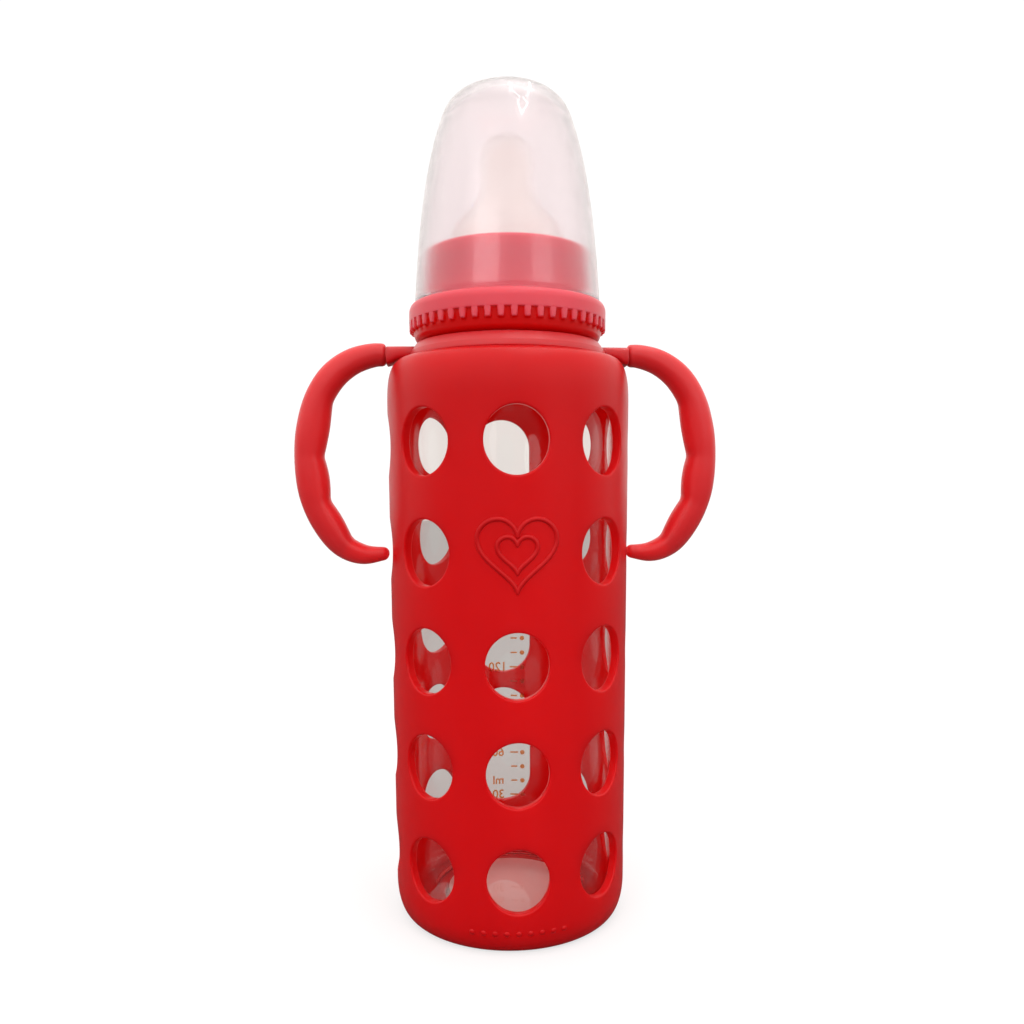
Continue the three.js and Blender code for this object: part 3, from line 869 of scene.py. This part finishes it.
# Half widths of the grip at even steps along the loop
OUTER_WIDTHS = [2.9, 3.25, 3.6, 3.65, 3.9, 4.05, 4.05, 3.75, 3.05, 1.5]
INNER_WIDTHS = [2.8, 3.3, 3.6, 3.65, 3.6, 3.5, 3.3, 2.95, 2.6, 1.8]

LOBE_EDGES = [0.29, 0.5, 0.668, 0.845]  # along the inner side, as fractions of the loop
LOBE_HEIGHT = 1.1
RIDGE_SHIFT = 0.5  # the grip's thickest line lies this far inside its middle line


def smooth_line(points, dense=80):
    """A centripetal Catmull-Rom line through the points, as evenly spaced as its samples are."""
    knots = np.array(points, float)
    full = np.vstack([2 * knots[0] - knots[1], knots, 2 * knots[-1] - knots[-2]])
    line = []
    for index in range(1, len(full) - 2):
        p0, p1, p2, p3 = full[index - 1 : index + 3]
        d0, d1, d2 = (math.sqrt(math.dist(a, b)) for a, b in ((p0, p1), (p1, p2), (p2, p3)))
        t1 = ((p1 - p0) / d0 - (p2 - p0) / (d0 + d1) + (p2 - p1) / d1) * d1
        t2 = ((p2 - p1) / d1 - (p3 - p1) / (d1 + d2) + (p3 - p2) / d2) * d1
        for t in np.arange(dense) / dense:
            line.append(
                (2 * t**3 - 3 * t**2 + 1) * p1
                + (t**3 - 2 * t**2 + t) * t1
                + (3 * t**2 - 2 * t**3) * p2
                + (t**3 - t**2) * t2
            )
    return np.vstack([line, knots[-1:]])


LOOP = smooth_line(LOOP_POINTS)
LOOP_LENGTHS = np.concatenate([[0], np.cumsum(np.linalg.norm(np.diff(LOOP, axis=0), axis=1))])


def loop_at(along):
    """The point and the outward direction at a fraction of the loop's length."""

    def spot(length):
        return np.array([np.interp(length, LOOP_LENGTHS, LOOP[:, axis]) for axis in (0, 1)])

    here = along * LOOP_LENGTHS[-1]
    step = 0.05
    tangent = spot(here + step) - spot(here - step)
    tangent /= np.linalg.norm(tangent)
    return spot(here), np.array([-tangent[1], tangent[0]])


def even_spline(values, along):
    """A uniform Catmull-Rom value at a fraction of an evenly spaced list."""
    place = along * (len(values) - 1)
    index = min(int(place), len(values) - 2)
    t = place - index
    p0, p1 = values[max(index - 1, 0)], values[index]
    p2, p3 = values[index + 1], values[min(index + 2, len(values) - 1)]
    v0, v1 = (p2 - p0) / 2, (p3 - p1) / 2
    return (2 * p1 - 2 * p2 + v0 + v1) * t**3 + (-3 * p1 + 3 * p2 - 2 * v0 - v1) * t**2 + v0 * t + p1


def lobe(along):
    for start, end in zip(LOBE_EDGES, LOBE_EDGES[1:]):
        place = (along - start) / (end - start)
        if 0 <= place <= 1:
            return LOBE_HEIGHT * math.sin(math.pi * place) ** 0.8
    return 0.0


def soft_lobe(along):
    """The lobes with their notches slightly rounded."""
    reach = 0.013
    return sum(lobe(along + offset * reach) for offset in (-1, -0.5, 0, 0.5, 1)) / 5


def loop_ring(along, outer, inner, half_depth, sides, shift=0.0):
    """An oval ring across the loop, with its own half width on each side of its thickest line."""
    centre, outward = loop_at(along)
    angles = np.arange(sides) * 2 * math.pi / sides
    reach = np.where(np.cos(angles) > 0, outer + shift, inner - shift) * np.cos(angles) - shift
    flat = centre + outward * reach[:, None]
    return np.stack([flat[:, 0], half_depth * np.sin(angles), flat[:, 1]], -1)


def core_rings(alongs, gap, sides):
    """Rings round the core, or round its channel in the grip when there is a gap."""
    width, depth = CORE_HALF_WIDTH + gap, CORE_HALF_DEPTH + gap
    return [loop_ring(along, width, width, depth, sides) for along in alongs]


def grip_part():
    """The right-hand grip: from the end of its channel, back out over the arm's core, and along
    its outer skin to the rounded tip."""
    sides = 40
    rings = core_rings(np.linspace(CORE_END + 0.006, 0, 60), GAP, sides)
    steps = 170
    length = LOOP_LENGTHS[-1]
    start_round = 1.2
    tip_round = 1.5
    alongs = np.concatenate(
        [
            start_round / length * (1 - np.cos(np.linspace(0, math.pi / 2, 7)))[:-1],
            np.linspace(start_round / length, 1 - tip_round / length, steps),
            1 - tip_round / length * (1 - np.sin(np.linspace(0, math.pi / 2, 9)))[1:],
        ]
    )
    for along in alongs:
        outer = even_spline(OUTER_WIDTHS, along)
        inner = even_spline(INNER_WIDTHS, along)
        from_start, from_tip = along * length, (1 - along) * length
        bulge = soft_lobe(along)
        shrink = 0.0
        if from_start < start_round:
            shrink = start_round - math.sqrt(max(start_round**2 - (start_round - from_start) ** 2, 0))
        if from_tip < tip_round:
            shrink = tip_round - math.sqrt(max(tip_round**2 - (tip_round - from_tip) ** 2, 0))
            shrink = min(shrink, 0.92 * min(outer, inner))
        half_depth = (outer + inner) / 2 + 0.2 * bulge - shrink
        shift = RIDGE_SHIFT * float(smoothstep(0.02, 0.15, along) * (1 - smoothstep(0.8, 0.95, along)))
        rings.append(loop_ring(along, outer - shrink, inner + bulge - shrink, half_depth, sides, shift))
    return lofted(rings)


def arm_part():
    """The right-hand arm, from inside the ring to the grip, with the core that the grip covers."""
    sides = 32
    rings = []

    def rounded(share):
        return np.sign(share) * np.sqrt(np.abs(share))

    def section(x, bottom, top):
        angles = (np.arange(sides) + 0.5) * 2 * math.pi / sides
        y = ARM_HALF_WIDTH * rounded(np.cos(angles))
        z = (top + bottom) / 2 + (top - bottom) / 2 * rounded(np.sin(angles))
        return np.stack([np.full(sides, float(x)), y, z], -1)

    end = ARM_END + GAP - 0.06  # all but touches the grip that is moulded on to it
    for x in np.linspace(22, 27, 5):
        rings.append(section(x, RING_BOTTOM, ARM_TOP))
    for x in np.linspace(27, end - 0.2, 14)[1:]:
        drop = np.interp(x, (27, 28.6, 29.7, 30.9), (0, 0.35, 1.15, 1.5))
        rings.append(section(x, RING_BOTTOM - drop, ARM_TOP))
    last = section(end, RING_BOTTOM - 1.35, ARM_TOP - 0.15)
    last[:, 1] *= 1 - 0.15 / ARM_HALF_WIDTH
    rings.append(last)
    core = core_rings([0, *np.linspace(0, CORE_END, 50)], 0, sides)
    core[0][:, 0] = ARM_END - 1
    return joined([lofted(rings), lofted(core)])


def handles():
    ring = [
        (RING_BORE, RING_BOTTOM), (RING_OUTER, RING_BOTTOM), (RING_OUTER, RING_BOTTOM + 0.4),
        (25.1, RING_TOP - 2.1), (24.6, RING_TOP - 1.4), (24.2, RING_TOP - 0.8),
        (23.6, RING_TOP), (RING_BORE, RING_TOP),
    ]
    outline = refined(eased(ring, 0.35), 0.9, closed=True)
    arm = arm_part()
    ring_part = joined([turned(outline, 192), arm, spun(arm, math.pi)])
    make_piece("ring_and_arms", ring_part, "handles", ["handle_ring"], RING_PLASTIC)
    grip = grip_part()
    for name, node, angle in (("grip_right", "right_grip", 0), ("grip_left", "left_grip", math.pi)):
        make_piece(name, spun(grip, angle), "handles", [node], SOFT_GRIP, sharp=60)


# ---- Screw collar ----

RIB_SHARE = 0.56  # of the pitch, at the top


def rib_relief(radius, height, angle):
    """Teeth that hang from the collar's band: flush with it, and narrower towards their ends."""
    slope = COLLAR_RADIUS - RIB_DEPTH
    place = np.abs((angle * RIB_COUNT / (2 * math.pi)) % 1 - 0.5) * 2
    share = RIB_SHARE - 0.16 * np.clip((RIB_TOP - height) / (RIB_TOP - RIB_BOTTOM), 0, 1)
    tooth = 1 - smoothstep(share - 0.1, share + 0.1, place)
    end = smoothstep(RIB_BOTTOM - 0.05, RIB_BOTTOM + 0.5, height)
    zone = (height > RIB_BOTTOM - 0.1) & (height < RIB_TOP + 0.05) & (radius > slope - 0.2)
    face = COLLAR_RADIUS - 0.03
    return np.where(zone, tooth * end * np.maximum(face - radius, 0), 0)


def screw_collar():
    slope = COLLAR_RADIUS - RIB_DEPTH
    outline = [
        *bend(
            (COLLAR_BORE, COLLAR_BOTTOM + 0.4), (COLLAR_BORE, COLLAR_BOTTOM),
            (COLLAR_BORE, COLLAR_BOTTOM), (COLLAR_BORE + 0.4, COLLAR_BOTTOM), 3,
        ),
        *corner((slope - 2.1, COLLAR_BOTTOM + 1.9), 1.9, 1.9, -90, -8, 14),
        *refined([(slope, RIB_BOTTOM - 0.1), (slope + 0.4, RIB_TOP)], 0.15, closed=False),
        *corner((COLLAR_RADIUS - 0.25, RIB_TOP + 0.25), 0.25, 0.25, -90, 0, 3),
        *refined([(COLLAR_RADIUS, RIB_TOP + 0.4), (COLLAR_RADIUS, COLLAR_LEDGE - 2.2)], 0.8, closed=False),
        *corner((COLLAR_RADIUS - 1.3, COLLAR_LEDGE - 2.1), 1.3, 2.1, 0, 90, 12),
        *bend(
            (PLINTH_RADIUS + 0.6, COLLAR_LEDGE), (PLINTH_RADIUS + 0.1, COLLAR_LEDGE),
            (PLINTH_RADIUS, COLLAR_LEDGE + 0.1), (PLINTH_RADIUS, COLLAR_LEDGE + 0.6), 5,
        ),
        *corner((PLINTH_TOP_RADIUS - 1.2, COLLAR_TOP - 1.2), 1.2, 1.2, 0, 90, 8),
        *corner((NIPPLE_OPENING + 0.5, COLLAR_TOP - 0.5), 0.5, 0.5, 90, 180, 4),
        (NIPPLE_OPENING, PLATE_BOTTOM),
        (COLLAR_BORE - 0.8, PLATE_BOTTOM),
        (COLLAR_BORE, PLATE_BOTTOM - 0.8),
    ]
    thread = thread_relief(COLLAR_BORE, -THREAD_DEPTH, THREAD_START - THREAD_PITCH / 2)
    wall = refined_where(
        refined(outline, 1.2, closed=True),
        0.35,
        closed=True,
        chosen=lambda a, b: max(abs(a[0] - COLLAR_BORE), abs(b[0] - COLLAR_BORE)) < 0.01,
    )
    collar = turned(wall, RIB_COUNT * 14, lambda *place: rib_relief(*place) + thread(*place))
    make_piece("collar", collar, "collar", ["screw_collar"], COLLAR_PLASTIC, sharp=60)


# ---- Nipple ----


def nipple():
    flange_top = PLATE_BOTTOM - GAP
    outline = [
        (10.2, NIPPLE_BASE), (17.4, NIPPLE_BASE), (17.4, flange_top), (11.8, flange_top),
        (11.8, COLLAR_TOP + GAP), (13.8, COLLAR_TOP + GAP), (14.6, COLLAR_TOP + 1.4),
        *bend((14.3, 176.2), (13.2, 181.2), (7.6, 182.8), (6.7, 189.2), 18),
        *bend((6.5, 191.2), (7.4, 197.8), (5.6, NIPPLE_TOP), (1.2, NIPPLE_TOP), 18),
        (0.6, NIPPLE_TOP - 0.4),
        (0.6, NIPPLE_TOP - 2.2),
        *bend((1.4, NIPPLE_TOP - 2.2), (4.6, 198.8), (5.2, 195.2), (4.6, 191.2), 12),
        *bend((4.9, 188.2), (5.8, 181.6), (12, 179.8), (12.3, 175.8), 12),
        (12.2, 174.4),
        (10.2, COLLAR_TOP + 0.2),
    ]
    part = turned(refined(eased(outline, 0.4), 1.2, closed=True), 96)
    make_piece("nipple_body", part, "nipple", ["nipple"], NIPPLE_SILICONE)


# ---- Dust cap ----


def dust_cap():
    shoulder = (17.0, CAP_TOP - 9.4)
    inner_shoulder = (shoulder[0] - CAP_WALL, shoulder[1] - 0.7)
    inner_top = CAP_TOP - CAP_WALL
    outer = [
        *bend((CAP_RADIUS, CAP_BOTTOM + 0.3), (22.9, 176), (20.8, 193.6), shoulder, 40),
        *bend(shoulder, (15.4, 209.9), (11.3, CAP_TOP), (0, CAP_TOP), 30)[1:],
    ]
    inner = [
        *bend((CAP_RADIUS - CAP_WALL, CAP_BOTTOM + 0.3), (21.5, 176), (19.4, 193), inner_shoulder, 40),
        *bend(inner_shoulder, (14.2, 208.5), (10.2, inner_top), (0, inner_top), 30)[1:],
    ]
    foot = CAP_BOTTOM - GAP + 0.06  # it all but touches the collar's step
    rim = [(CAP_RADIUS - CAP_WALL + 0.3, foot), (CAP_RADIUS - 0.3, foot)]
    shell = turned(inner[::-1] + rim + outer, 128)
    make_piece("cap_shell", shell, "cap", ["dust_cap"], FROSTED)


# ---- Floor, light and camera ----


def paper_material():
    """White paper, lit from below for the camera, that throws little light back on the object."""
    paper = new_material("paper", (0.86, 0.86, 0.86), 0.9, Specular_IOR_Level=0.1)
    add_bump(paper, (900, 2), 0.05, 0.0001)
    tree = paper.node_tree
    rays = add_node(tree, "LightPath", {}).outputs
    through = add_math(tree, "MULTIPLY_ADD", rays["Is Transmission Ray"], 0.30, 0.12)
    seen = add_math(tree, "MULTIPLY_ADD", rays["Is Camera Ray"], 0.74, through)
    link_to_shader(paper, seen, "Base Color")
    glow = add_node(tree, "Emission", {"Strength": 1.05}).outputs["Emission"]
    share = add_math(tree, "MULTIPLY", rays["Is Camera Ray"], 0.62)
    solid = tree.nodes["Principled BSDF"].outputs["BSDF"]
    mix = add_node(tree, "MixShader", {"Fac": share, 1: solid, 2: glow})
    show_surface(paper, mix.outputs["Shader"])
    return paper


def paper_floor():
    """A wide pale floor under the object."""
    size, steps = 3.0, 24
    mesh = bpy.data.meshes.new("floor")
    work = bmesh.new()
    bmesh.ops.create_grid(work, x_segments=steps, y_segments=steps, size=size)
    work.to_mesh(mesh)
    work.free()
    floor = new_object("floor", mesh)
    floor.location.z = -0.0002
    mesh.materials.append(paper_material())


def soft_world():
    """A white studio that is dark on the camera's side, so that gloss stays at the edges."""
    world = bpy.data.worlds.new("studio")
    bpy.context.scene.world = world
    world.use_nodes = True
    tree = world.node_tree
    tree.nodes.clear()
    place = add_node(tree, "TexCoord", {}).outputs["Generated"]
    way = add_node(tree, "SeparateXYZ", {"Vector": place}).outputs

    def ramp(axis, start, end, brightest):
        smooth = {"interpolation_type": "SMOOTHSTEP"}
        return add_range(tree, way[axis], start, end, 0.04, brightest, **smooth)

    behind, above = ramp("Y", -0.5, 0.15, 0.95), ramp("Z", 0.0, 0.26, 1.1)
    brighter = add_math(tree, "MAXIMUM", behind, above)
    strength = add_math(tree, "MAXIMUM", brighter, ramp("Z", 0.3, 0.9, 1.25))
    warm = {"Color": (1.0, 0.965, 0.94, 1), "Strength": strength}
    lighting = add_node(tree, "Background", warm).outputs["Background"]
    white = {"Color": (1, 1, 1, 1), "Strength": 1.05}
    backdrop = add_node(tree, "Background", white).outputs["Background"]
    seen = add_node(tree, "LightPath", {}).outputs["Is Camera Ray"]
    mix = add_node(tree, "MixShader", {"Fac": seen, 1: lighting, 2: backdrop})
    add_node(tree, "OutputWorld", {"Surface": mix.outputs["Shader"]})


def area_lamp(name, place, width, height, watts):
    """A rectangular lamp, facing down."""
    data = bpy.data.lights.new(name, "AREA")
    data.shape = "RECTANGLE"
    data.size = width
    data.size_y = height
    data.energy = watts
    lamp = new_object(name, data)
    lamp.location = place
    return lamp


def soft_lamp(name, place, target, width, height, watts):
    """A studio lamp turned to its target, which no gloss mirrors."""
    lamp = area_lamp(name, place, width, height, watts)
    aim = Vector(target) - Vector(place)
    lamp.rotation_euler = aim.to_track_quat("-Z", "Y").to_euler()
    lamp.visible_glossy = False


def soft_sun(name, direction, strength, degrees):
    data = bpy.data.lights.new(name, "SUN")
    data.energy = strength
    data.angle = math.radians(degrees)
    lamp = new_object(name, data)
    lamp.rotation_euler = Vector(direction).to_track_quat("-Z", "Y").to_euler()


def bright_bar(name, start, end, width, watts_per_metre):
    """A thin lamp that hangs level between two points and shines down: one edge of a light frame."""
    start, end = Vector(start), Vector(end)
    length = (end - start).length + width
    lamp = area_lamp(name, (start + end) / 2, length, width, watts_per_metre * length)
    lamp.rotation_euler.z = math.atan2(end.y - start.y, end.x - start.x)


def light_frame():
    """The outline of a studio window overhead, which the dust cap's dome mirrors."""
    height, width, watts_per_metre = 0.7, 0.012, 0.42
    corners = [(0.025, 0.06), (0.043, -0.19), (0.169, -0.351), (0.237, -0.225), (0.145, 0.23)]
    for index, (start, end) in enumerate(zip(corners, corners[1:])):
        bright_bar(f"frame_{index}", (*start, height), (*end, height), width, watts_per_metre)


def inner_glow(height):
    """Part of the light that a translucent sleeve lets into the bottle."""
    data = bpy.data.lights.new("glow", "POINT")
    data.energy = 0.010
    data.color = (1.0, 0.12, 0.1)
    data.shadow_soft_size = 0.012
    lamp = new_object("glow", data)
    lamp.location = (0, 0, height)
    lamp.visible_glossy = False
    lamp.visible_transmission = False


def camera():
    """The camera stands a hand's breadth away, a little to the left, and looks slightly down."""
    distance, height = 0.2333, 0.1129
    turn, tilt, roll = math.radians(-3.8), math.radians(90 - 6.01), math.radians(-0.3)
    data = bpy.data.cameras.new("camera")
    data.sensor_width = 36
    data.lens = 30.8918
    data.shift_x = 0.0032
    data.shift_y = 0.068
    data.clip_start = 0.01
    eye = new_object("camera", data)
    place = Matrix.Rotation(turn, 4, "Z") @ Matrix.Translation((0, -distance, height))
    eye.matrix_world = place @ Matrix.Rotation(tilt, 4, "X") @ Matrix.Rotation(roll, 4, "Z")
    bpy.context.scene.camera = eye


glass_bottle()
printed_scale()
silicone_sleeve()
sleeve_motifs()
handles()
screw_collar()
nipple()
dust_cap()

paper_floor()
soft_world()
soft_sun("sky", (0.1, 0.35, -1), 0.4, 80)
soft_lamp("key", (-0.45, -0.75, 0.35), (0, 0, 0.11), 0.5, 0.6, 2.3)
soft_lamp("fill", (0.55, -0.6, 0.30), (0, 0, 0.1), 0.4, 0.5, 1.2)
light_frame()
for level in (0.025, 0.06, 0.095, 0.13):
    inner_glow(level)
camera()
bpy.context.scene.view_settings.view_transform = "Standard"
